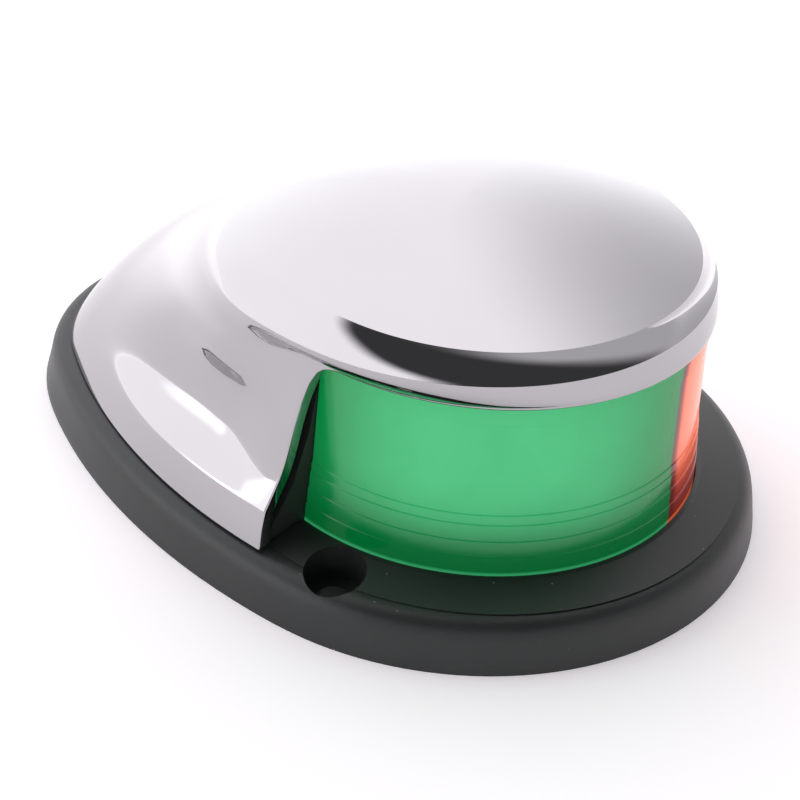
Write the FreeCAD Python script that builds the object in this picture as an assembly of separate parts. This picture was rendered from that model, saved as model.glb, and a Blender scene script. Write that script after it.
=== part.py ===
"""Two-colour bow navigation light for a small boat: an egg-shaped black base that screws
to the deck, a green and a red lens round its front half, and a polished cover held by
three screws from beneath. Millimetres, +X to the bow, +Z up, z = 0 on the deck."""

import FreeCAD
import Part

import math
import os

os.makedirs("parts", exist_ok=True)
V = FreeCAD.Vector
UP = V(0, 0, 1)

# Base outline: an egg of two end circles joined by one long arc on each side
LENGTH = 120.0
HALF_WIDTH = 45.2
REAR_RADIUS = 31.7
BOW_X = LENGTH / 2
STERN_X = -LENGTH / 2
BASE_TOP = 7.8
FLOOR_UNDER = 5.0  # ceiling of the wiring space under the base
WALL_INSET = 5.6  # the wall round the wiring space, measured in from the outline
# height, inset at the bow and sides, inset at the stern: the wall's draft and soft shoulder
SHOULDER = [
    (0.0, 0.0, 0.0),
    (3.0, 0.5, 0.5),
    (5.2, 1.0, 1.0),
    (6.5, 1.7, 1.3),
    (7.3, 2.8, 1.7),
    (7.7, 4.3, 2.3),
    (BASE_TOP, 6.0, 3.0),
]

# Gasket under the base
GASKET_THICK = 1.2
GASKET_INSET = 1.8
EYELET_R = 6.2

# Mounting holes, counterbored for no. 8 pan head screws
MOUNT_X = 19.4
MOUNT_Y = 38.6
MOUNT_HOLE_R = 2.3
COUNTERBORE_R = 4.4
COUNTERBORE_SEAT = 3.4
MOUNT_BOSS_R = 7.0

# Lenses: one drum about the lamp, split on the centre line
LENS_X = 16.35
LENS_FOOT_Z = 7.6
LENS_EDGE_Z = 9.3
LENS_FOOT_R = 33.6
LENS_SHOULDER_Z = 35.8
LENS_SHOULDER_R = 32.4
LENS_WALL = 2.2
SPIGOT_R = 31.0
SPIGOT_WALL = 1.3
SPIGOT_TOP = 38.4
LENS_END = 101.2  # degrees round from the bow
LENS_STEP = 0.15
LENS_PROUD = 0.1  # how far the foot stands out past the taper
STEPS_DOWN = [11.8, 14.4, 17.0, 18.5]  # the wall thins here, going up
STEPS_UP = [32.7, 34.6]  # and thickens here
SEAL_THICK = 0.8
RISE_TOP = 9.0
RISE_R = 34.7
RISE_FOOT_R = 40.5

# Cover: its outer surface runs through these closed egg-shaped rows, top to bottom.
# half width, bow x, stern x, stern radius, height at the bow and sides, height at the stern
APEX_X = 12.1
APEX_Z = 48.7
COVER_RIM = 7.9
CREASE = (31.2, 45.6, -22.8, 18.0, 42.9, 38.5)
COVER_ROWS = [
    CREASE,
    (32.4, 46.2, -24.8, 18.5, 41.1, 37.2),  # bottom of the hollow under the crease
    (36.2, 48.0, -27.8, 19.0, 39.7, 35.4),  # top edge of the visor
    (33.4, 49.0, -32.8, 20.5, 36.0, 32.6),  # bottom edge of the visor
    (35.6, 52.4, -41.2, 22.2, 23.8, 25.6),  # ridge above the side scoop
    (38.1, 54.4, -46.4, 23.4, 15.8, 20.6),  # inside the side scoop
    (41.6, 56.6, -49.6, 24.8, 10.2, 17.2),  # edge below the side scoop
    (42.2, 58.2, -56.2, 26.3, COVER_RIM, COVER_RIM),
]
DOME_ROWS = 7
DOME_POWER = 1.9
COVER_WALL = 2.2
VISOR_EDGE_Z = 36.1
LEG_END = 102.4
DRUM_ROOM_R = 31.3
DRUM_ROOM_TOP = 39.4
ROW_POINTS = 48

# Rim of the base that the cover drops over
RIM_GAP = 0.4
RIM_WALL = 2.0
RIM_TOP = 14.0
END_WALL = 2.2
END_WALL_TOP = 33.0

# Cover screws: name, x, y
SCREWS = [("rear", -40.0, 0.0), ("port", -8.0, 26.0), ("starboard", -8.0, -26.0)]
SHANK_R = 2.0
SHANK_TOP = 18.0
HEAD_R = 3.6
HEAD_Z = 1.0
HEAD_THICK = 2.2
WASHER_R = 3.9
WASHER_THICK = 0.8
PILLAR_R = 5.4
PILLAR_TOP = 9.6
BOSS_R = 4.0
BOSS_HOLE_TOP = 19.0

# Festoon lamp, lying fore and aft
LAMP_X = 15.0
LAMP_Z = 24.0
GLASS_R = 4.6
GLASS_HALF = 12.0
GLASS_WALL = 0.5
CAP_R = 5.0
CAP_START = 9.6
CAP_FACE = 16.4
TIP_R = 1.5
TIP_END = 18.6
FILAMENT_R = 0.4
FILAMENT_HALF = 6.0
SUPPORT_R = 0.25

# Lamp contacts, their rivets and the terminals under the floor
CLIP_AT = 16.9  # from the lamp's middle to the inside of a clip
CLIP_THICK = 0.6
CLIP_WIDTH = 8.0
CLIP_TOP = 28.0
NOTCH_HALF = 1.8
FOOT_LONG = 8.5
RIVET_R = 1.4
RIVET_HEAD_R = 2.5
RIVET_HEAD = 0.7
TERMINAL_THICK = 0.8
TERMINAL_LONG = 14.0
TERMINAL_WIDTH = 6.3


def egg_point(half, bow, stern, rear_r, turn):
    """Point on an egg outline: a front circle of radius half, a long side arc and a rear
    circle of radius rear_r. turn runs 0 at the bow, 180 at the stern, in degrees."""
    front_x = bow - half
    rear_x = stern + rear_r
    span = rear_x - front_x
    side_r = (span**2 + half**2 - rear_r**2) / (2 * (half - rear_r))
    side_y = half - side_r
    join = math.atan2(-side_y, span)
    side_run = side_r * (join - math.pi / 2)
    rear_run = rear_r * (math.pi - join)
    a = math.radians(abs(turn))
    if a <= math.pi / 2:
        x, y = front_x + half * math.cos(a), half * math.sin(a)
    else:
        run = (a / (math.pi / 2) - 1) * (side_run + rear_run)
        if run <= side_run:
            b = math.pi / 2 + run / side_r
            x, y = front_x + side_r * math.cos(b), side_y + side_r * math.sin(b)
        else:
            b = join + (run - side_run) / rear_r
            x, y = rear_x + rear_r * math.cos(b), rear_r * math.sin(b)
    return x, math.copysign(y, turn)


def egg_wire(row):
    """Closed smooth curve through one row: level at the bow and sides, and eased to its
    own height at the stern."""
    half, bow, stern, rear_r, side_z, stern_z = row
    points = []
    for i in range(ROW_POINTS):
        turn = -180 + 360 * i / ROW_POINTS
        x, y = egg_point(half, bow, stern, rear_r, turn)
        t = max(0.0, abs(turn) / 90 - 1)
        points.append(V(x, y, side_z + (stern_z - side_z) * t * t * (3 - 2 * t)))
    curve = Part.BSplineCurve()
    curve.interpolate(Points=points, PeriodicFlag=True)
    return Part.Wire([curve.toShape()])


def outline(inset, z, stern_inset=None):
    """Base outline drawn in by an inset, level at height z."""
    back = inset if stern_inset is None else stern_inset
    row = (HALF_WIDTH - inset, BOW_X - inset, STERN_X + back, REAR_RADIUS - back, z, z)
    return egg_wire(row)


def slab(inset, low, high):
    """Straight-sided plate with the base's outline, drawn in by an inset."""
    return Part.Face(outline(inset, low)).extrude(UP * (high - low))


def cylinder(r, low, high, x, y):
    return Part.makeCylinder(r, high - low, V(x, y, low), UP)


def sector(r, low, high, half_angle):
    """Pie slice about the lens axis, half_angle degrees each side of the bow."""
    pie = Part.makeCylinder(r, high - low, V(0, 0, low), UP, 2 * half_angle)
    pie.rotate(V(0, 0, 0), UP, -half_angle)
    pie.translate(V(LENS_X, 0, 0))
    return pie


def box(x0, x1, y0, y1, z0, z1):
    return Part.makeBox(x1 - x0, y1 - y0, z1 - z0, V(x0, y0, z0))


def turned(profile, x, y, axis, angle=360.0, start=0.0):
    """Solid of revolution of a closed profile of (radius, height) points: about a
    vertical axis at x, y, or about a fore-and-aft axis when axis is X."""
    if axis == "Z":
        points = [V(r, 0, h) for r, h in profile]
    else:
        points = [V(h, 0, r) for r, h in profile]
    face = Part.Face(Part.makePolygon(points + points[:1]))
    line = UP if axis == "Z" else V(1, 0, 0)
    solid = face.revolve(V(0, 0, 0), line, angle)
    solid.rotate(V(0, 0, 0), line, start)
    solid.translate(V(x, y, 0) if axis == "Z" else V(x, 0, y))
    return solid


def dome_row(share):
    """Row part way from the apex to the crease: it spreads evenly and falls by a power."""
    half, bow, stern, rear_r, side_z, stern_z = CREASE
    drop = share**DOME_POWER
    return (
        half * share,
        APEX_X + (bow - APEX_X) * share,
        APEX_X + (stern - APEX_X) * share,
        rear_r * share,
        APEX_Z + (side_z - APEX_Z) * drop,
        APEX_Z + (stern_z - APEX_Z) * drop,
    )


def cover_form(inset=0.0, drop=0.0, skirt=0.0):
    """Solid inside the cover's outer surface, drawn in by inset and lowered by drop. A
    skirt carries its bottom row further down."""
    domes = [dome_row((i + 1) / (DOME_ROWS + 1)) for i in range(DOME_ROWS)]
    wires = [Part.Vertex(APEX_X, 0, APEX_Z - drop)]
    for i, row in enumerate(domes + COVER_ROWS):
        half, bow, stern, rear_r, side_z, stern_z = row
        share = min(1.0, (i + 1) / (DOME_ROWS + 1))
        t = inset * share
        fall = drop if i <= DOME_ROWS + 2 else 0.0
        wires.append(egg_wire((half - t, bow - t, stern + t, rear_r - t * 0.8,
                               side_z - fall, stern_z - fall)))
    if skirt:
        half, bow, stern, rear_r, side_z, stern_z = COVER_ROWS[-1]
        t = inset
        low = COVER_RIM - skirt
        wires.append(egg_wire((half - t, bow - t, stern + t, rear_r - t * 0.8, low, low)))
    return Part.makeLoft(wires, True, True)


def base_moulding(gasket):
    """Egg-shaped base: wall and shoulder, wiring space beneath, mounting holes, a low rise
    and groove for the lenses, and the rim and end walls that the cover drops over."""
    body = Part.makeLoft([outline(i, z, s) for z, i, s in SHOULDER], True, False)
    rise = Part.makeCone(RISE_FOOT_R, RISE_R, RISE_TOP - BASE_TOP, V(0, 0, BASE_TOP), UP,
                         2 * LENS_END)
    rise = rise.cut(cylinder(LENS_FOOT_R - LENS_WALL + 0.6, 0, 20, 0, 0))
    rise.rotate(V(0, 0, 0), UP, -LENS_END)
    rise.translate(V(LENS_X, 0, 0))
    body = body.fuse(rise)
    inner = cover_form(COVER_WALL + RIM_GAP, 2.0, skirt=2.0)
    hollow = cover_form(COVER_WALL + RIM_GAP + RIM_WALL, 2.0, skirt=4.0)
    rim = inner.common(box(-70, 70, -60, 60, BASE_TOP - 1, RIM_TOP)).cut(hollow)
    rim = rim.cut(sector(80, 0, 60, LEG_END))
    ends = []
    for side in (1, -1):
        wall = box(-END_WALL, 0, 27.0, 60, BASE_TOP - 1, END_WALL_TOP)
        wall.rotate(V(0, 0, 0), UP, LENS_END + 0.4 - 90)
        wall.translate(V(LENS_X, 0, 0))
        if side < 0:
            wall = wall.mirror(V(0, 0, 0), V(0, 1, 0))
        ends.append(wall.common(inner))
    body = body.multiFuse([rim] + ends)
    groove = sector(LENS_FOOT_R + LENS_PROUD + 0.2, LENS_FOOT_Z - SEAL_THICK, 20, LENS_END + 0.3)
    groove = groove.cut(sector(LENS_FOOT_R - LENS_WALL - 0.6, 0, 20, 130))
    body = body.cut(groove)
    space = slab(WALL_INSET, -1, FLOOR_UNDER)
    keep = [cylinder(PILLAR_R, 0, FLOOR_UNDER, x, y) for _, x, y in SCREWS]
    for side in (1, -1):
        boss = cylinder(MOUNT_BOSS_R, GASKET_THICK, FLOOR_UNDER, MOUNT_X, side * MOUNT_Y)
        keep.append(boss)
    body = body.cut(space.cut(Part.makeCompound(keep)))
    cuts = [gasket]
    for _, x, y in SCREWS:
        body = body.fuse(cylinder(PILLAR_R, BASE_TOP - 1, PILLAR_TOP, x, y))
        seat = HEAD_Z + HEAD_THICK + WASHER_THICK
        cuts.append(cylinder(SHANK_R + 0.3, -1, 20, x, y))
        cuts.append(cylinder(WASHER_R + 0.2, -1, seat, x, y))
    for side in (1, -1):
        y = side * MOUNT_Y
        cuts.append(cylinder(MOUNT_HOLE_R, -1, 20, MOUNT_X, y))
        cuts.append(cylinder(COUNTERBORE_R, COUNTERBORE_SEAT, 20, MOUNT_X, y))
    for x in rivet_places():
        cuts.append(cylinder(RIVET_R, 0, 20, x, 0))
    for cut in cuts:
        body = body.cut(cut)
    return body


def deck_gasket():
    """Flat foam rubber ring under the base's wall, with an eyelet round each mounting
    screw."""
    ring = slab(GASKET_INSET, 0, GASKET_THICK).cut(slab(WALL_INSET, -1, 3))
    for side in (1, -1):
        y = side * MOUNT_Y
        eyelet = cylinder(EYELET_R, 0, GASKET_THICK, MOUNT_X, y)
        eyelet = eyelet.common(slab(GASKET_INSET, -1, 3))
        ring = ring.fuse(eyelet).cut(cylinder(MOUNT_HOLE_R + 0.3, -1, 3, MOUNT_X, y))
    return ring.removeSplitter()


def top_cover():
    """Cast shell: dome, visor over the lenses, two legs that run aft, and screw bosses."""
    form = cover_form()
    shell = form.cut(cover_form(COVER_WALL, 2.0, skirt=3.0))
    shell = shell.cut(sector(90, -5, VISOR_EDGE_Z, LEG_END))
    shell = shell.cut(sector(DRUM_ROOM_R, 20, DRUM_ROOM_TOP, LEG_END))
    inside = cover_form(1.0, 1.0)
    for _, x, y in SCREWS:
        boss = cylinder(BOSS_R, PILLAR_TOP + 0.1, 60, x, y).common(inside)
        shell = shell.fuse(boss)
    for _, x, y in SCREWS:
        shell = shell.cut(cylinder(SHANK_R + 0.04, 0, BOSS_HOLE_TOP, x, y))
    return shell.removeSplitter()


def lens_profile():
    """Lens section as (radius, height): tapered outer face with its fine steps, a shoulder
    under the visor, and a thinner spigot that stands up inside the cover."""
    steps = [(z, -LENS_STEP) for z in STEPS_DOWN] + [(z, LENS_STEP) for z in STEPS_UP]
    slope = (LENS_SHOULDER_R - LENS_FOOT_R) / (LENS_SHOULDER_Z - LENS_EDGE_Z)
    extra = LENS_PROUD
    points = [(LENS_FOOT_R + extra, LENS_FOOT_Z), (LENS_FOOT_R + extra, LENS_EDGE_Z)]
    for z, change in steps:
        r = LENS_FOOT_R + slope * (z - LENS_EDGE_Z)
        points.append((r + extra, z - 0.08))
        extra += change
        points.append((r + extra, z + 0.08))
    points.append((LENS_SHOULDER_R + extra, LENS_SHOULDER_Z))
    points.append((SPIGOT_R, LENS_SHOULDER_Z))
    points.append((SPIGOT_R, SPIGOT_TOP))
    points.append((SPIGOT_R - SPIGOT_WALL, SPIGOT_TOP))
    points.append((SPIGOT_R - SPIGOT_WALL, LENS_SHOULDER_Z - 1.5))
    points.append((LENS_FOOT_R - LENS_WALL, LENS_FOOT_Z))
    return points


def lens(side):
    """One coloured lens: a quarter turn and a little more of the drum, with a flat end
    wall turned in where it meets the base's end wall. side is 1 to port, -1 starboard."""
    profile = lens_profile()
    wall = turned(profile, LENS_X, 0, "Z", LENS_END)
    outer = [p for p in profile if p[1] <= LENS_SHOULDER_Z and p[0] > SPIGOT_R]
    end = [(27.0, LENS_SHOULDER_Z), (27.0, RISE_TOP + 0.2), (SPIGOT_R, RISE_TOP + 0.2)]
    end_profile = [p for p in outer if p[1] > RISE_TOP + 0.2] + end
    end_turn = 3.2
    flange = turned(end_profile, LENS_X, 0, "Z", end_turn, LENS_END - end_turn)
    solid = wall.fuse(flange).removeSplitter()
    return solid if side > 0 else solid.mirror(V(0, 0, 0), V(0, 1, 0))


def ring_seal(outer, inner, low, high):
    return sector(outer, low, high, LENS_END).cut(sector(inner, low - 1, high + 1, 130))


def rivet_places():
    reach = CLIP_AT + CLIP_THICK + FOOT_LONG / 2
    return [LAMP_X + reach, LAMP_X - reach]


def contact(side):
    """Brass strip: a foot on the floor and an upright whose open notch holds the lamp's
    tip. side is 1 in front of the lamp, -1 behind it."""
    foot_top = BASE_TOP + CLIP_THICK
    near = CLIP_AT
    far = CLIP_AT + CLIP_THICK
    half = CLIP_WIDTH / 2
    strip = box(near, far, -half, half, BASE_TOP, CLIP_TOP)
    strip = strip.fuse(box(near, far + FOOT_LONG, -half, half, BASE_TOP, foot_top))
    notch = Part.makeCylinder(NOTCH_HALF, 4, V(near - 1, 0, LAMP_Z), V(1, 0, 0))
    notch = notch.fuse(box(near - 1, far + 1, -NOTCH_HALF, NOTCH_HALF, LAMP_Z, CLIP_TOP + 1))
    strip = strip.cut(notch)
    strip = strip.cut(cylinder(RIVET_R, 0, 20, far + FOOT_LONG / 2, 0))
    if side < 0:
        strip = strip.mirror(V(0, 0, 0), V(1, 0, 0))
    strip.translate(V(LAMP_X, 0, 0))
    return strip.removeSplitter()


def terminal(side, x):
    """Flat brass blade under the floor for a push-on wire connector."""
    blade = box(-3.5, TERMINAL_LONG, -TERMINAL_WIDTH / 2, TERMINAL_WIDTH / 2,
                FLOOR_UNDER - TERMINAL_THICK, FLOOR_UNDER)
    blade = blade.cut(cylinder(RIVET_R, 0, 20, 0, 0))
    blade.rotate(V(0, 0, 0), UP, 90 * side)
    blade.translate(V(x, 0, 0))
    return blade


def rivet(x):
    """Hollow brass rivet that joins a contact, the floor and a terminal."""
    low = FLOOR_UNDER - TERMINAL_THICK
    high = BASE_TOP + CLIP_THICK
    shank = cylinder(RIVET_R, low - RIVET_HEAD, high + RIVET_HEAD, x, 0)
    heads = [cylinder(RIVET_HEAD_R, low - RIVET_HEAD, low, x, 0),
             cylinder(RIVET_HEAD_R, high, high + RIVET_HEAD, x, 0)]
    return shank.multiFuse(heads).cut(cylinder(0.7, 0, 20, x, 0)).removeSplitter()


def bulb_glass():
    """Sealed tube with a small hole in each end for its lead wire."""
    half, r, wall, hole = GLASS_HALF, GLASS_R, GLASS_WALL, SUPPORT_R
    outer = [(hole, half), (r - 1.2, half), (r, half - 1.2), (r, 1.2 - half)]
    outer += [(r - 1.2, -half), (hole, -half)]
    inside = half - wall
    inner = [(hole, -inside), (r - 1.2, -inside), (r - wall, 1.2 - half)]
    inner += [(r - wall, half - 1.2), (r - 1.2, inside), (hole, inside)]
    return turned(outer + inner, LAMP_X, LAMP_Z, "X")


def bulb_cap(side):
    """Cup with a cone that sits in its contact's notch."""
    bore = GLASS_R + 0.03
    profile = [(bore, CAP_START), (CAP_R, CAP_START), (CAP_R, CAP_FACE - 0.8)]
    profile += [(CAP_R - 0.8, CAP_FACE), (TIP_R + 0.1, CAP_FACE), (TIP_R - 0.2, TIP_END)]
    profile += [(0.0, TIP_END), (0.0, CAP_FACE - 0.5), (bore, CAP_FACE - 0.5)]
    cap = turned(profile, 0, LAMP_Z, "X")
    if side < 0:
        cap = cap.mirror(V(0, 0, 0), V(1, 0, 0))
    cap.translate(V(LAMP_X, 0, 0))
    return cap


def bulb_supports():
    """The two lead wires that carry the filament, as two solids."""
    ends = []
    for side in (1, -1):
        start = V(LAMP_X + side * FILAMENT_HALF, 0, LAMP_Z)
        run = CAP_FACE - 0.5 - FILAMENT_HALF
        ends.append(Part.makeCylinder(SUPPORT_R, run, start, V(side, 0, 0)))
    return Part.makeCompound(ends)


def screw(x, y):
    """Pan head screw with a cross recess, driven up from beneath."""
    seat = HEAD_Z + HEAD_THICK
    profile = [(0, HEAD_Z), (HEAD_R - 1.0, HEAD_Z), (HEAD_R, HEAD_Z + 1.0), (HEAD_R, seat)]
    profile += [(SHANK_R, seat), (SHANK_R, SHANK_TOP - 0.6), (SHANK_R - 0.6, SHANK_TOP)]
    profile += [(0, SHANK_TOP)]
    body = turned(profile, x, y, "Z")
    for dx, dy in ((2.0, 0.4), (0.4, 2.0)):
        body = body.cut(box(x - dx, x + dx, y - dy, y + dy, HEAD_Z - 1, HEAD_Z + 1.2))
    return body


def washer(x, y):
    seat = HEAD_Z + HEAD_THICK
    disc = cylinder(WASHER_R, seat, seat + WASHER_THICK, x, y)
    return disc.cut(cylinder(SHANK_R + 0.05, 0, 20, x, y))


gasket = deck_gasket()
front_x, rear_x = rivet_places()
nodes = {
    "base_moulding": base_moulding(gasket),
    "deck_gasket": gasket,
    "top_cover": top_cover(),
    "green_lens": lens(-1),
    "red_lens": lens(1),
    "lens_foot_seal": ring_seal(LENS_FOOT_R + LENS_PROUD, LENS_FOOT_R - LENS_WALL,
                                LENS_FOOT_Z - SEAL_THICK, LENS_FOOT_Z),
    "cover_seal": ring_seal(SPIGOT_R, SPIGOT_R - SPIGOT_WALL, SPIGOT_TOP,
                            SPIGOT_TOP + SEAL_THICK),
    "contact_front": contact(1),
    "contact_rear": contact(-1),
    "terminal_front": terminal(1, front_x),
    "terminal_rear": terminal(-1, rear_x),
    "rivet_front": rivet(front_x),
    "rivet_rear": rivet(rear_x),
    "bulb_glass": bulb_glass(),
    "bulb_cap_front": bulb_cap(1),
    "bulb_cap_rear": bulb_cap(-1),
    "bulb_filament": Part.makeCylinder(FILAMENT_R, 2 * FILAMENT_HALF,
                                       V(LAMP_X - FILAMENT_HALF, 0, LAMP_Z), V(1, 0, 0)),
    "bulb_supports": bulb_supports(),
}
for name, x, y in SCREWS:
    nodes["cover_screw_" + name] = screw(x, y)
    nodes["screw_washer_" + name] = washer(x, y)
for name, shape in nodes.items():
    solids = len(shape.Solids)
    box_mm = shape.BoundBox
    print(f"{name:24s} solids {solids} valid {shape.isValid()} volume {shape.Volume:9.1f}"
          f"  x {box_mm.XMin:6.1f} {box_mm.XMax:6.1f} z {box_mm.ZMin:5.1f} {box_mm.ZMax:5.1f}")
    shape.exportStep(f"parts/{name}.step")
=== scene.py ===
"""Two-colour bow navigation light on a pale studio floor, its lamp lit."""

import math

import bpy
import numpy as np
from mathutils import Matrix, Vector
from mathutils.bvhtree import BVHTree


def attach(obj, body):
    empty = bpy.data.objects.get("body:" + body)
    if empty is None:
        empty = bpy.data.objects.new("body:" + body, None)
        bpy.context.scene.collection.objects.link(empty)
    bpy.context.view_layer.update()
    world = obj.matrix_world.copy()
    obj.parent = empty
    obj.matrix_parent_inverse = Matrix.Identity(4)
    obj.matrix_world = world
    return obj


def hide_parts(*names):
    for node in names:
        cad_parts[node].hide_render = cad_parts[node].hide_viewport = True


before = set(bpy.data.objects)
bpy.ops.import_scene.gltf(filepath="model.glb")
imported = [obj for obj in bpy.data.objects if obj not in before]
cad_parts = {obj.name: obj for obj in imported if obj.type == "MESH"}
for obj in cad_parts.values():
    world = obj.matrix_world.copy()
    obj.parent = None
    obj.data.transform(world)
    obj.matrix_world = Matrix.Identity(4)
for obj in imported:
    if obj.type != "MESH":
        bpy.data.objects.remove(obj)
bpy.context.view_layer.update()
MM = 0.001

# Studio. The light stands on a large pale table that glows softly behind it, in a bright
# room that is greyer to port and dark high up on the starboard bow. A white card stands low
# on the starboard quarter. The polished cover mirrors all of it.
CAMERA_TURN = 33.33
CAMERA_RISE = 35.28
CAMERA_ROLL = 4.2
CAMERA_AWAY = 0.300
OPEN_ROOM = 1.82
GREY_LOSS = 1.05
DARK_ROOM = 0.07
LOW_WALL = 0.70
CARD = 1.3
TABLE_R = 12.0
TABLE_SIDES = 96
TABLE_DROP = 0.00002


def camera_axes(turn, rise, roll):
    """Right, up and back axes of a camera that looks at the origin: turn degrees from
    the starboard side towards the bow, rise above the table, then rolled in its plane."""
    a, e, r = (math.radians(v) for v in (turn, rise, roll))
    back = Vector((math.sin(a) * math.cos(e), -math.cos(a) * math.cos(e), math.sin(e)))
    flat = Vector((math.cos(a), math.sin(a), 0))
    tall = back.cross(flat)
    right = math.cos(r) * flat + math.sin(r) * tall
    return right, back.cross(right), back


right, upward, back = camera_axes(CAMERA_TURN, CAMERA_RISE, CAMERA_ROLL)
camera = bpy.data.objects.new("camera", bpy.data.cameras.new("camera"))
bpy.context.scene.collection.objects.link(camera)
camera.matrix_world = Matrix.Translation(back * CAMERA_AWAY) @ Matrix(
    (right, upward, back)).transposed().to_4x4()
camera.data.sensor_width = 36
camera.data.lens = 85.45
camera.data.shift_x = 0.0236
camera.data.shift_y = 0.0513
camera.data.clip_start = 0.01
bpy.context.scene.camera = camera
bpy.context.scene.view_settings.view_transform = "Standard"


class Sum:
    """A shader value that can be added, multiplied and so on: each sign used on it adds
    one Math node to its tree."""

    def __init__(self, finish, socket):
        self.finish = finish
        self.socket = socket

    def math(self, operation, first, second):
        made = self.finish.node("ShaderNodeMath", {"operation": operation},
                                {0: first, 1: second})
        return made["Value"]

    def __add__(self, other):
        return self.math("ADD", self, other)

    def __sub__(self, other):
        return self.math("SUBTRACT", self, other)

    def __rsub__(self, other):
        return self.math("SUBTRACT", other, self)

    def __mul__(self, other):
        return self.math("MULTIPLY", self, other)

    def __truediv__(self, other):
        return self.math("DIVIDE", self, other)

    def __pow__(self, other):
        return self.math("POWER", self, other)

    __radd__ = __add__
    __rmul__ = __mul__

    def above(self, low, high):
        """Eased from 0 at low to 1 at high."""
        made = self.finish.node("ShaderNodeMapRange", {"interpolation_type": "SMOOTHSTEP"},
                                {"Value": self, "From Min": low, "From Max": high})
        return made["Result"]


class Finish:
    """One procedural material, or the room's light, built node by node."""

    def __init__(self, name, tree=None, **constants):
        if tree is None:
            self.material = bpy.data.materials.new(name)
            self.material.use_nodes = True
            tree = self.material.node_tree
        self.tree = tree
        self.shader = tree.nodes.get("Principled BSDF")
        for socket, value in constants.items():
            self.shader.inputs[socket.replace("_", " ")].default_value = value

    def node(self, kind, settings=None, values=None):
        """Adds a node with its settings and its sockets' values or links. Returns its
        outputs by name, ready for sums."""
        made = self.tree.nodes.new(kind)
        for name, value in (settings or {}).items():
            setattr(made, name, value)
        for name, value in (values or {}).items():
            self.join(value, made.inputs[name])
        return {out.name: Sum(self, out) for out in made.outputs if out.enabled}

    def join(self, value, socket):
        if isinstance(value, Sum):
            self.tree.links.new(value.socket, socket)
        else:
            socket.default_value = value

    def feed(self, **values):
        """Links varying values to the main shader's sockets."""
        for name, value in values.items():
            self.join(value, self.shader.inputs[name.replace("_", " ")])
        return self

    def place(self):
        return self.node("ShaderNodeTexCoord")["Object"]

    def axes(self):
        made = self.node("ShaderNodeSeparateXYZ", None, {"Vector": self.place()})
        return made["X"], made["Y"], made["Z"]

    def grain(self, per_metre, detail=4.0, rough=0.5, stretch=(1, 1, 1)):
        """Noise from 0 to 1 with about this many lumps to the metre."""
        where = self.node("ShaderNodeMapping", None,
                          {"Vector": self.place(), "Scale": stretch})["Vector"]
        return self.node("ShaderNodeTexNoise", None, {
            "Vector": where, "Scale": per_metre, "Detail": detail, "Roughness": rough})["Fac"]

    def specks(self, per_metre, size):
        """1 in small round spots scattered one to a cell, 0 between them."""
        far = self.node("ShaderNodeTexVoronoi", None, {
            "Vector": self.place(), "Scale": per_metre})["Distance"]
        return 1 - far.above(size * 0.5, size)

    def blend(self, share, first, second):
        return self.node("ShaderNodeMix", {"data_type": "RGBA"}, {
            0: share, 6: first, 7: second})["Result"]

    def relief(self, height, depth, metres=0.0001):
        """Turns a height into a bump on the main shader's normal."""
        bump = self.node("ShaderNodeBump", None, {
            "Height": height, "Strength": depth, "Distance": metres})["Normal"]
        return self.feed(Normal=bump)


room = bpy.data.worlds.new("room")
bpy.context.scene.world = room
room.use_nodes = True
glow = Finish("room", room.node_tree)
look = glow.node("ShaderNodeTexCoord")["Generated"]
look_x, look_y, look_z = glow.node("ShaderNodeSeparateXYZ", None, {"Vector": look}).values()


def toward(azimuth, rise):
    """How nearly a direction points to this azimuth (from the bow, port positive) and
    height, as a cosine."""
    a, e = math.radians(azimuth), math.radians(rise)
    return (look_x * (math.cos(a) * math.cos(e)) + look_y * (math.sin(a) * math.cos(e))
            + look_z * math.sin(e))


dark_side = toward(-42, 0).above(-0.16, 0.04)
grey_side = toward(70, 25).above(0.64, 1.02)
card = toward(-123, 15).above(0.87, 0.95)
low_wall = 1 - look_z.above(0.45, 0.72)
level = ((OPEN_ROOM - grey_side * GREY_LOSS) * (1 - dark_side)
         + dark_side * (low_wall * LOW_WALL + DARK_ROOM) + card * CARD)
air = room.node_tree.nodes["Background"]
air.inputs["Color"].default_value = (0.985, 0.975, 1.0, 1)
glow.join(level, air.inputs["Strength"])

table_top = bpy.data.objects.new("table_top", bpy.data.meshes.new("table_top"))
bpy.context.scene.collection.objects.link(table_top)
ring = np.linspace(0, 2 * np.pi, TABLE_SIDES, endpoint=False)
edge = np.c_[TABLE_R * np.cos(ring), TABLE_R * np.sin(ring), np.full(TABLE_SIDES, -TABLE_DROP)]
table_top.data.from_pydata(edge.tolist(), [], [list(range(TABLE_SIDES))])
pale = Finish("pale_table", Roughness=0.9, Emission_Strength=1.0)
table_x, table_y, _ = pale.axes()
behind = (table_y * math.cos(math.radians(CAMERA_TURN))
          - table_x * math.sin(math.radians(CAMERA_TURN))).above(-0.06, 0.42)
pale.feed(Base_Color=pale.blend(pale.grain(3.0), (0.90, 0.88, 0.89, 1),
                                (0.92, 0.90, 0.91, 1)),
          Emission_Color=pale.blend(behind, (0.26, 0.25, 0.26, 1), (1.05, 1.03, 1.05, 1)))
table_top.data.materials.append(pale.material)


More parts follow.
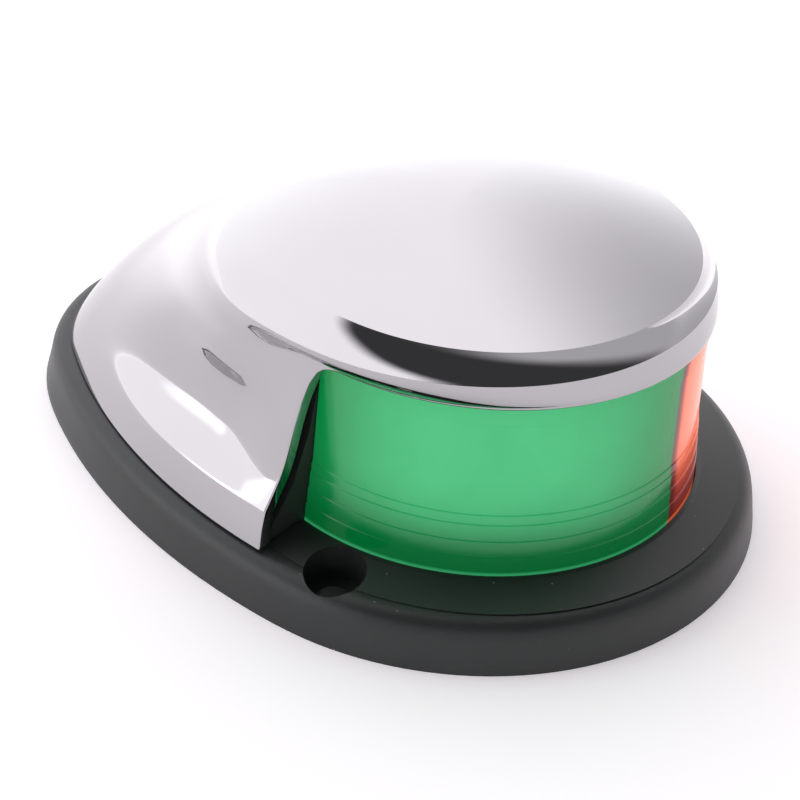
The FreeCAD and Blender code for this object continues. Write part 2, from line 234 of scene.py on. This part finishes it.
# Base moulding. Black glass-filled plastic, injection moulded, with a fine spark-eroded
# texture and a soft shoulder. Dust has settled on it here and there.
def satin_plastic():
    skin = Finish("black_satin_plastic", Specular_IOR_Level=0.5)
    fine = skin.grain(5200, 3)
    cloud = skin.grain(90, 4)
    dust = skin.specks(330, 0.055) * skin.grain(60).above(0.45, 0.6)
    black = skin.blend(cloud, (0.010, 0.012, 0.012, 1), (0.020, 0.022, 0.022, 1))
    skin.feed(Base_Color=skin.blend(dust * 0.55, black, (0.30, 0.32, 0.31, 1)),
              Roughness=0.36 + cloud * 0.10 + dust * 0.3)
    return skin.relief(fine, 0.35, 0.00006).material


def dress(node, material):
    """Gives a carried-over CAD node its finish in every slot."""
    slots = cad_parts[node].data.materials
    slots.clear()
    slots.append(material)


dress("base_moulding", satin_plastic())


# Top cover. Die-cast zinc, polished and chrome plated: a dome, a hollow and a visor under
# it, and two scooped legs that run aft round the base's rim. Three hollow bosses inside
# take the screws that come up through the base.
APEX_X = 12.1 * MM
APEX_Z = 48.7 * MM
WALL = 2.2 * MM
# The side rows, from the crease down to the rim: half width, bow x, stern x, stern radius,
# height at the bow and sides, height at the stern, and how firmly the surface is drawn to
# the row: 1 soft, 3 a crisp edge. Then the half width and height where the row isn't pressed
# in, the turns between which it comes out to them, its set-back at the legs in degrees, and
# how much further in it is pressed behind the legs' front edges.
CREASE = (31.3, 45.7, -22.8, 18.0, 42.9, 38.5, 3, 31.3, 42.9, 98, 134, 0, 0)
FALL = [
    CREASE,
    (32.3, 46.1, -24.2, 18.3, 41.9, 37.7, 1, 32.5, 42.2, 100, 134, 0, 0.9),
    (33.5, 46.7, -25.8, 18.6, 41.0, 36.8, 1, 33.6, 41.2, 100, 134, 0, 1.5),
    (34.9, 47.4, -27.0, 18.9, 40.2, 36.0, 1, 34.5, 39.8, 100, 134, 0, 1.3),
    (36.2, 48.0, -28.2, 19.2, 39.7, 35.3, 3, 35.1, 38.2, 98, 130, 0, 0),
    (36.1, 48.4, -29.6, 19.6, 38.4, 34.4, 1, 35.6, 36.4, 98, 130, 0, 0),
    (34.2, 49.0, -31.6, 20.1, 36.6, 33.1, 1, 36.0, 34.6, 98, 124, 0, 0),
    (33.4, 49.0, -32.8, 20.5, 36.2, 32.3, 2, 36.3, 33.1, 98, 120, 0, 0),
    (34.8, 50.4, -37.0, 21.2, 30.2, 29.4, 1, 37.1, 29.8, 98, 120, 0.8, 0),
    (36.3, 52.4, -41.2, 22.2, 26.2, 25.8, 1, 38.1, 26.2, 110, 146, 1.2, 1.6),
    (37.4, 54.0, -45.0, 23.2, 22.0, 22.2, 1, 38.9, 22.2, 116, 152, 1.3, 2.4),
    (38.6, 55.2, -47.8, 23.9, 18.3, 19.2, 1, 39.7, 18.4, 116, 152, 1.2, 3.2),
    (39.8, 56.0, -49.8, 24.5, 15.7, 16.8, 1, 40.3, 15.8, 116, 152, 1.0, 2.2),
    (40.9, 56.8, -51.6, 25.1, 14.0, 14.6, 2, 40.9, 14.0, 116, 152, 0.6, 0),
    (41.8, 57.6, -54.2, 25.8, 11.0, 11.2, 1, 41.8, 11.0, 116, 152, 0.2, 0),
    (42.2, 58.2, -56.2, 26.3, 8.3, 8.3, 3, 42.2, 8.3, 116, 152, 0, 0),
]
VISOR_ROW = 7
LEG_TURN = 97.5
CORNER_TURN = 7.0
CORNER_DEPTH = 0.42
POCKET_TURNS = (98, 114)
EDGE_FADE_TURNS = (104, 140)
SET_BACK_END = 130
INNER_DROP = 2.0
UPPER_STEPS = 64
LOWER_STEPS = 30
EDGE_BULGE = 0.35 * MM
EDGE_SQUARENESS = 0.5
BOSS_HOLE_R = 2.04
BOSS_HOLE_TOP = 19.0
BOSS_R = 4.0
BOSS_FOOT = 9.7
BOSS_SIDES = 48
BOSS_BITE = 0.5 * MM
BOSS_PLACES = {"rear": (-40.0, 0.0), "port": (-8.0, 26.0), "starboard": (-8.0, -26.0)}


def smooth_step(values, low, high):
    """0 below low, 1 above high, and an even S between them."""
    t = np.clip((values - low) / (high - low), 0, 1)
    return t * t * (3 - 2 * t)


def egg(half, bow, stern, rear_r, turn):
    """Egg outline points. A front circle of radius half, a long arc on each side and a
    stern circle, as x and y for turns in degrees from the bow."""
    front_x = bow - half
    rear_x = stern + rear_r
    span = rear_x - front_x
    side_r = (span**2 + half**2 - rear_r**2) / (2 * (half - rear_r))
    side_y = half - side_r
    join = np.arctan2(-side_y, span)
    side_run = side_r * (join - np.pi / 2)
    rear_run = rear_r * (np.pi - join)
    a = np.radians(np.abs(turn))
    run = (a / (np.pi / 2) - 1) * (side_run + rear_run)
    b = np.pi / 2 + run / side_r
    c = join + (run - side_run) / rear_r
    front, side = a <= np.pi / 2, run <= side_run
    x = np.where(front, front_x + half * np.cos(a),
                 np.where(side, front_x + side_r * np.cos(b), rear_x + rear_r * np.cos(c)))
    y = np.where(front, half * np.sin(a),
                 np.where(side, side_y + side_r * np.sin(b), rear_r * np.sin(c)))
    return x, y * np.sign(turn)


def side_row(row, turn, inset, drop):
    """One side row as points: its pressed outline, easing to the one that isn't pressed in,
    and from the height at the sides to the height at the stern."""
    half, bow, stern, rear_r, side_z, stern_z, _, proud, proud_z, start, end, back, deep = row
    back_turn = back * (1 - smooth_step(np.abs(turn), LEG_TURN, SET_BACK_END))
    turn = turn + np.sign(turn) * back_turn
    out = smooth_step(np.abs(turn), start, end)
    aft = smooth_step(np.abs(turn), 90, 180)
    size = bow - inset, stern + inset, rear_r - inset * 0.8
    flush = np.array(egg(proud - inset, *size, turn))
    pressed = np.array(egg(half - inset, *size, turn))
    pressed[1] -= np.sign(turn) * deep * smooth_step(np.abs(turn), *POCKET_TURNS)
    x, y = pressed + (flush - pressed) * out
    z = side_z + (proud_z - side_z) * out
    return np.stack([x, y, z + (stern_z - z) * aft - drop], -1)


def cover_rows(turn, inset, drop):
    """Control rows of the cover, apex first, as an array of rows by turns by xyz. The dome
    spreads evenly from the apex while its fall grows as a power of the spread. A firm row
    stands several times over in front, and aft its copies move apart, so its edge fades.
    inset and drop give the inside."""
    apex = np.array([APEX_X, 0, APEX_Z]) / MM - [0, 0, drop]
    rim = side_row(CREASE, turn, inset, drop)
    rows = []
    for share in (0.0, 0.0, 0.1, 0.22, 0.34, 0.46, 0.58, 0.70, 0.81, 0.90, 0.96):
        rows.append(apex + (rim - apex) * np.array([share, share, share**1.9]))
    sides = [side_row(row, turn, inset, drop * (i < VISOR_ROW - 1))
             for i, row in enumerate(FALL)]
    soft = smooth_step(np.abs(turn), *EDGE_FADE_TURNS)[:, None]
    for row, here, below in zip(FALL, sides, sides[1:] + sides[-1:]):
        rows += [here + (below - here) * soft * k / row[6] for k in range(row[6])]
    return np.array([rows[0]] + rows + [rows[-1]]) * MM


def along(rows, where):
    """Uniform cubic B-spline through the control rows, at one value of where for every
    sample and turn."""
    span = np.clip(where.astype(int), 0, len(rows) - 4)
    t = (where - span)[..., None]
    column = np.arange(rows.shape[1])[None, :]
    weights = ((1 - t)**3, 3 * t**3 - 6 * t**2 + 4, -3 * t**3 + 3 * t**2 + 3 * t + 1, t**3)
    return sum(w * rows[span + k, column] for k, w in enumerate(weights)) / 6


def row_place(index):
    """Value of where at which the surface comes nearest to one row of FALL."""
    before = 12 + sum(row[6] for row in FALL[:index])
    return before + (FALL[index][6] - 1) / 2 - 1


def mesh_piece(name, points, faces, material, body):
    """Makes a smooth-shaded mesh object from an array of points and lists of faces."""
    mesh = bpy.data.meshes.new(name)
    mesh.from_pydata(points.reshape(-1, 3).tolist(), [], faces)
    mesh.validate()
    mesh.shade_smooth()
    piece = bpy.data.objects.new(name, mesh)
    bpy.context.scene.collection.objects.link(piece)
    mesh.materials.append(material)
    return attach(piece, body)


def quads(grid, wrap=False):
    """Faces between neighbouring entries of a two-way grid of vertex numbers."""
    ahead = np.roll(grid, -1, 1) if wrap else grid[:, 1:]
    near = grid if wrap else grid[:, :-1]
    return np.stack([near[:-1], near[1:], ahead[1:], ahead[:-1]], -1).reshape(-1, 4)


def cover_boss(x, y, ceiling):
    """Points and faces of one screw boss: a tube whose top follows the shell's ceiling,
    found by looking up from inside, and ends within the wall."""
    around = np.linspace(0, 2 * np.pi, BOSS_SIDES, endpoint=False)
    out_x, out_y = np.cos(around), np.sin(around)
    flat = np.ones(BOSS_SIDES)
    rings = [np.stack([x + r * out_x, y + r * out_y, z * flat], -1) * MM
             for r, z in ((BOSS_HOLE_R, BOSS_HOLE_TOP), (BOSS_HOLE_R, BOSS_FOOT + 0.4),
                          (BOSS_HOLE_R + 0.26, BOSS_FOOT), (BOSS_R - 0.3, BOSS_FOOT),
                          (BOSS_R, BOSS_FOOT + 0.3))]
    top = rings[-1].copy()
    for point in top:
        start = Vector((point[0], point[1], 12 * MM))
        point[2] = ceiling.ray_cast(start, Vector((0, 0, 1)))[0].z + BOSS_BITE
    number = np.arange(6 * BOSS_SIDES).reshape(6, BOSS_SIDES)
    faces = quads(number, True)[:, ::-1].tolist() + [number[0].tolist(), number[-1].tolist()]
    return np.array(rings + [top]), faces


def cover_shell():
    """Points and faces of the whole shell: an outer and an inner skin on the same grid,
    cut away for the lenses, and a rounded edge that joins them all the way round."""
    free = np.linspace(-180, 180, 361)[1:]
    turn = np.sort(np.r_[free[np.abs(np.abs(free) - LEG_TURN) > 0.6], LEG_TURN, -LEG_TURN,
                         LEG_TURN - 0.5, 0.5 - LEG_TURN])
    visor = row_place(VISOR_ROW)
    last = row_place(len(FALL) - 1)
    near_leg = np.clip((np.abs(turn) - LEG_TURN + CORNER_TURN) / CORNER_TURN, 0, 1)
    dip = CORNER_DEPTH * (1 - np.sqrt(1 - near_leg**2))
    step = np.linspace(0, 1, UPPER_STEPS + 1)[:, None]
    where_up = step * visor + dip * smooth_step(step, 0.85, 1.0) * 4
    start = where_up[-1]
    step = np.linspace(0, 1, LOWER_STEPS + 1)[1:, None]
    where = np.vstack([where_up, start + (last - start) * step])
    outer = along(cover_rows(turn, 0.0, 0.0), where)
    inner = along(cover_rows(turn, WALL / MM, INNER_DROP), where)
    count, columns = outer.shape[:2]
    number = np.arange(count * columns).reshape(count, columns)
    number[0] = number[0, 0]
    aft = np.flatnonzero(np.abs(turn) >= LEG_TURN - 0.01)
    split = np.flatnonzero(np.diff(aft) > 1)[0]
    aft = np.r_[aft[split + 1:], aft[:split + 1]]
    skin = np.vstack([quads(number[:UPPER_STEPS + 1], True),
                      quads(number[UPPER_STEPS:, aft])])
    total = count * columns
    faces = [[a, b, c, d] if a != d else [a, b, c] for a, b, c, d in skin.tolist()]
    faces += [[v + total for v in reversed(f)] for f in faces]
    front = np.flatnonzero(np.abs(turn) < LEG_TURN - 0.01)
    loop = np.r_[number[UPPER_STEPS, front], number[UPPER_STEPS:, aft[0]],
                 number[-1, aft[1:]], number[UPPER_STEPS:-1, aft[-1]][::-1]]
    inside = np.r_[number[UPPER_STEPS - 1, front], number[UPPER_STEPS:, aft[1]],
                   number[-2, aft[1:]], number[UPPER_STEPS:-1, aft[-2]][::-1]]
    skins = np.stack([outer.reshape(-1, 3), inner.reshape(-1, 3)])
    away = (skins[:, loop] - skins[:, inside]).sum(0)
    away = sum(np.roll(away / np.linalg.norm(away, axis=1, keepdims=True), k, 0)
               for k in (-1, 0, 1))
    away /= np.linalg.norm(away, axis=1, keepdims=True)
    middle = skins[:, loop].mean(0)
    reach = (skins[0, loop] - skins[1, loop]) / 2
    bend = np.radians(np.linspace(90, -90, 11)[1:-1])
    out = np.abs(np.cos(bend))**EDGE_SQUARENESS
    over = np.sign(np.sin(bend)) * np.abs(np.sin(bend))**EDGE_SQUARENESS
    turned_edge = (middle + reach * over[:, None, None]
                   + away * EDGE_BULGE * out[:, None, None])
    extra = 2 * total + np.arange(turned_edge[..., 0].size).reshape(len(bend), -1)
    strip = np.vstack([loop, extra, loop + total])
    faces += quads(strip, True).tolist()
    points = np.vstack([skins.reshape(-1, 3), turned_edge.reshape(-1, 3)])
    used = np.unique(np.concatenate([np.array(f) for f in faces]))
    fresh = np.full(len(points), -1)
    fresh[used] = np.arange(len(used))
    return points[used], [[int(fresh[v]) for v in f] for f in faces]


def mirror_chrome():
    plate = Finish("mirror_chrome", Metallic=1.0)
    cloud = plate.grain(45, 3)
    wipe = plate.grain(900, 2, stretch=(1, 0.08, 1))
    pits = plate.specks(260, 0.022) * plate.grain(70).above(0.5, 0.6)
    bright = plate.blend(cloud, (0.435, 0.42, 0.435, 1), (0.465, 0.455, 0.47, 1))
    plate.feed(Base_Color=plate.blend(pits * 0.8, bright, (0.10, 0.09, 0.09, 1)),
               Roughness=0.035 + cloud * 0.03 + wipe * 0.015 + pits * 0.3)
    return plate.relief(wipe * 0.5 + plate.grain(60, 1), 0.05, 0.00005).material


chrome = mirror_chrome()
shell_points, shell_faces = cover_shell()
cover = mesh_piece("cover_shell", shell_points, shell_faces, chrome, "cover")
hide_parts("top_cover")
ceiling = BVHTree.FromPolygons(shell_points.tolist(), shell_faces)
for name, (x, y) in BOSS_PLACES.items():
    boss = mesh_piece("cover_boss_" + name, *cover_boss(x, y, ceiling), chrome, "cover")
    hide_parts("top_cover")


# Lenses. Two quarter drums of clear coloured acrylic, injection moulded with fine steps
# near the top and bottom, butted on the centre line. The lamp behind them is lit.
LENS_X = 16.35 * MM


def acrylic_with_painted_glow(name, dark, mid, pale, facing, joint):
    """Clear acrylic with painted light from the lamp inside: its colour, also fed to its
    emission, runs from the painted shade tint dark through mid to the painted glow tint pale.
    It is palest level with the lamp and round the direction facing (degrees from the bow),
    with painted shade towards the foot, the ends and, over the first joint metres, the seam on
    the centre line. The foot's thin edge has a painted glow."""
    skin = Finish(name, Roughness=0.12, IOR=1.49, Transmission_Weight=0.25,
                  Emission_Strength=0.52)
    x, y, z = skin.axes()
    across = x - LENS_X
    a = math.radians(facing)
    face = ((across * math.cos(a) + y * math.sin(a))
            / (across * across + y * y) ** 0.5)
    height = (z - 0.0275) / 0.015
    # haze mottles both the painted glow and the roughness.
    haze = skin.grain(160, 3)
    fleck = skin.specks(420, 0.05) * skin.grain(130).above(0.5, 0.62)
    # Painted glow: a pale spot level with the lamp, round the direction facing.
    painted_glow = (face.above(0.62, 1.02) * (1 - (height * height).above(0.0, 1.1))
           * (haze * 0.3 + 0.8))
    # Painted shade: darker over the first joint metres either side of the seam on the centre
    # line.
    seam = (y * y).above(0.0, joint * joint)
    # Painted light and shade: lit round the direction facing and above the foot, shaded
    # towards the ends and the foot.
    lit = face.above(-0.25, 0.75) * z.above(0.006, 0.024) * (haze * 0.2 + 0.85) * seam
    # Painted glow along the foot's thin edge.
    foot = 1 - z.above(0.0089, 0.0096)
    colour = skin.blend(painted_glow * seam, skin.blend(lit, dark, mid), pale)
    colour = skin.blend(fleck * 0.3 + foot * 0.8, colour, pale)
    # The painted colour also feeds the emission, so the lens itself glows with painted light.
    skin.feed(Base_Color=colour, Emission_Color=colour, Roughness=0.10 + haze * 0.12)
    return skin.relief(skin.grain(700, 2), 0.15, 0.00005).material


# Each lens's three tints are its painted shade, painted lit and painted glow colours.
dress("green_lens", acrylic_with_painted_glow("green_acrylic", (0.0, 0.10, 0.022, 1),
                                (0.001, 0.21, 0.05, 1), (0.05, 0.42, 0.17, 1), -52, 0.0003))
dress("red_lens", acrylic_with_painted_glow("red_acrylic", (0.09, 0.004, 0.003, 1),
                              (0.60, 0.05, 0.025, 1), (0.85, 0.17, 0.06, 1), 25, 0.0022))


# Seals and gasket. A closed-cell foam gasket lies between the base and the deck, and thin
# rubber rings seal the drum's foot and the joint between the drum and the cover.
def black_rubber(name, tone, cells, depth):
    """Matt rubber or foam: tone is its grey, cells how many lumps to the metre."""
    skin = Finish(name, Specular_IOR_Level=0.35)
    cloud = skin.grain(120, 4)
    pores = skin.grain(cells, 2)
    dark = (tone * 0.8, tone * 0.82, tone * 0.84, 1)
    pale_tone = (tone * 1.6, tone * 1.6, tone * 1.55, 1)
    skin.feed(Base_Color=skin.blend(cloud * 0.6 + pores * 0.4, dark, pale_tone),
              Roughness=0.72 + cloud * 0.16)
    return skin.relief(pores, depth, 0.00012).material


dress("deck_gasket", black_rubber("foam_rubber", 0.020, 2600, 0.8))
soft_black = black_rubber("seal_rubber", 0.014, 4200, 0.3)
dress("lens_foot_seal", soft_black)
dress("cover_seal", soft_black)


# Contacts. Two brass clips hold the lamp by its caps. Each stands on the base floor, and a
# rivet clenches it to a blade terminal on the underside, where the boat's wires push on.
def tarnished_brass():
    metal = Finish("tarnished_brass", Metallic=1.0)
    cloud = metal.grain(260, 5)
    drawn = metal.grain(1500, 2, stretch=(1, 1, 0.06))
    spots = metal.specks(520, 0.10) * metal.grain(90).above(0.48, 0.62)
    clean = metal.blend(cloud, (0.74, 0.52, 0.22, 1), (0.60, 0.39, 0.14, 1))
    metal.feed(Base_Color=metal.blend(spots * 0.7, clean, (0.20, 0.12, 0.06, 1)),
               Roughness=0.24 + cloud * 0.16 + spots * 0.25)
    return metal.relief(drawn * 0.6 + spots * 0.3, 0.2, 0.00004).material


brass = tarnished_brass()
for kind in ("contact", "terminal", "rivet"):
    for end in ("front", "rear"):
        dress(kind + "_" + end, brass)


# Lamp. A 12 V festoon bulb: a glass tube with a nickel-plated cap at each end, and a wound
# tungsten filament, lit, that two lead wires hold on the tube's middle line.
LAMP_X = 15.0 * MM
LAMP_Z = 24.0 * MM
FILAMENT_HALF = 6.0 * MM
FILAMENT_R = 0.4 * MM


def lamp_glass():
    glass = Finish("lamp_glass", IOR=1.5, Transmission_Weight=0.97)
    haze = glass.grain(240, 3)
    glass.feed(Base_Color=glass.blend(haze, (0.97, 0.98, 0.98, 1), (0.90, 0.92, 0.92, 1)),
               Roughness=0.02 + haze * 0.05)
    return glass.relief(glass.grain(320, 1), 0.15, 0.00005).material


def nickel_plate():
    metal = Finish("nickel_plate", Metallic=1.0)
    cloud = metal.grain(500, 4)
    rubbed = metal.grain(1400, 2, stretch=(0.06, 1, 1))
    metal.feed(Base_Color=metal.blend(cloud, (0.62, 0.60, 0.55, 1), (0.48, 0.46, 0.42, 1)),
               Roughness=0.20 + cloud * 0.14 + rubbed * 0.06)
    return metal.relief(rubbed, 0.15, 0.00003).material


def hot_tungsten():
    """White heat in the middle of the coil, orange at its ends."""
    metal = Finish("hot_tungsten", Metallic=1.0, Emission_Strength=14.0)
    across = metal.axes()[0] - LAMP_X
    heat = 1 - (across * across).above((FILAMENT_HALF * 0.4)**2, FILAMENT_HALF**2)
    glow_colour = metal.blend(heat, (0.9, 0.22, 0.04, 1), (1.0, 0.72, 0.42, 1))
    metal.feed(Base_Color=metal.blend(metal.grain(900), (0.20, 0.19, 0.18, 1),
                                      (0.32, 0.30, 0.28, 1)),
               Roughness=0.4 + metal.grain(2000) * 0.2, Emission_Color=glow_colour)
    return metal.material


def filament_coil(turns=34, wire_r=0.055 * MM, sides=6, steps=14):
    """Points and faces of a wire wound as a helix along X. Its middle line is
    (x, R cos t, R sin t), and the wire's own ring stands square to it."""
    t = np.linspace(0, 2 * np.pi * turns, turns * steps + 1)
    r = FILAMENT_R - wire_r
    x = LAMP_X + np.linspace(-1, 1, len(t)) * (FILAMENT_HALF - wire_r)
    line = np.stack([x, r * np.cos(t), LAMP_Z + r * np.sin(t)], -1)
    outward = np.stack([np.zeros_like(t), np.cos(t), np.sin(t)], -1)
    ahead = np.gradient(line, axis=0)
    ahead /= np.linalg.norm(ahead, axis=1, keepdims=True)
    side = np.cross(ahead, outward)
    ring = np.linspace(0, 2 * np.pi, sides, endpoint=False)
    points = (line[:, None] + wire_r * (np.cos(ring)[None, :, None] * outward[:, None]
                                        + np.sin(ring)[None, :, None] * side[:, None]))
    number = np.arange(len(t) * sides).reshape(len(t), sides)
    faces = quads(number, True)[:, ::-1].tolist()
    return points, faces + [number[0].tolist(), number[-1][::-1].tolist()]


nickel = nickel_plate()
dress("bulb_glass", lamp_glass())
dress("bulb_cap_front", nickel)
dress("bulb_cap_rear", nickel)
dress("bulb_supports", nickel)
coil = mesh_piece("filament_coil", *filament_coil(), hot_tungsten(), "lamp")
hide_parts("bulb_filament")


# Cover screws. Three stainless pan head screws with rolled threads and cross recesses go up
# through washers and pillars in the base, and bite in the cover's bosses.
HEAD_LOW = 1.0
HEAD_SEAT = 3.2
HEAD_R = 3.6
THREAD_R = 2.0
THREAD_DEPTH = 0.32
THREAD_PITCH = 0.7
THREAD_TOP = 18.0
THREAD_STEP = 0.07
HEAD_FLAT_R = 2.4
HEAD_ROUND = 1.2
RECESS_DEPTH = 1.15
SLOT_HALF = (0.34, 0.46)
SLOT_REACH = (1.85, 2.0)
TIP_R = 1.1
SCREW_SIDES = 72


def screw_solid(x, y):
    """Points and faces of one screw, in rings from the middle of its head, round the head
    and up the shank. The recess is a cross cut into the head's face, and the thread's
    radius falls by a ridge of the fraction of height / pitch - angle / 360."""
    angle = np.linspace(0, 2 * np.pi, SCREW_SIDES, endpoint=False)
    flat = np.ones(SCREW_SIDES)
    rings = []
    for r in np.r_[0.0, np.linspace(0.2, HEAD_FLAT_R, 23)]:
        u, v = r * np.cos(angle), r * np.sin(angle)
        short, tall = np.minimum(np.abs(u), np.abs(v)), np.maximum(np.abs(u), np.abs(v))
        cross = (1 - smooth_step(short, *SLOT_HALF)) * (1 - smooth_step(tall, *SLOT_REACH))
        rings.append((r * flat, HEAD_LOW + RECESS_DEPTH * cross))
    for bend in np.radians(np.linspace(10, 90, 7)):
        rings.append(((HEAD_FLAT_R + HEAD_ROUND * math.sin(bend)) * flat,
                      (HEAD_LOW + HEAD_ROUND * (1 - math.cos(bend))) * flat))
    rings.append((HEAD_R * flat, HEAD_SEAT * flat))
    rings.append((THREAD_R * flat, HEAD_SEAT * flat))
    for z in np.arange(HEAD_SEAT + 0.05, THREAD_TOP - 0.04, THREAD_STEP):
        turn = (z / THREAD_PITCH - angle / (2 * np.pi)) % 1.0
        ridge = 1 - np.abs(2 * turn - 1)
        root = THREAD_DEPTH * smooth_step(1 - ridge, 0.15, 0.9)
        near_end = smooth_step(z, THREAD_TOP - 0.7, THREAD_TOP) * 0.5
        grow = smooth_step(z, HEAD_SEAT + 0.3, HEAD_SEAT + 1.4)
        rings.append((THREAD_R - root * grow - near_end, z * flat))
    rings.append((TIP_R * flat, THREAD_TOP * flat))
    rings.append((0 * flat, THREAD_TOP * flat))
    points = np.array([np.stack([x + r * np.cos(angle), y + r * np.sin(angle), z], -1)
                       for r, z in rings]) * MM
    number = np.arange(len(rings) * SCREW_SIDES).reshape(len(rings), SCREW_SIDES)
    number[0] = number[0, 0]
    number[-1] = number[-1, 0]
    faces = []
    for a, b, c, d in quads(number, True)[:, ::-1].tolist():
        faces.append(list(dict.fromkeys((a, b, c, d))))
    return points, faces


def brushed_stainless():
    metal = Finish("stainless_steel", Metallic=1.0)
    cloud = metal.grain(380, 4)
    fine = metal.grain(2600, 2)
    metal.feed(Base_Color=metal.blend(cloud, (0.58, 0.57, 0.55, 1), (0.46, 0.45, 0.44, 1)),
               Roughness=0.24 + cloud * 0.12 + fine * 0.06)
    return metal.relief(fine, 0.15, 0.00003).material


steel = brushed_stainless()
for name, (x, y) in BOSS_PLACES.items():
    screw = mesh_piece("threaded_screw_" + name, *screw_solid(x, y), steel, "screw_" + name)
    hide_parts("cover_screw_" + name)
    dress("screw_washer_" + name, steel)
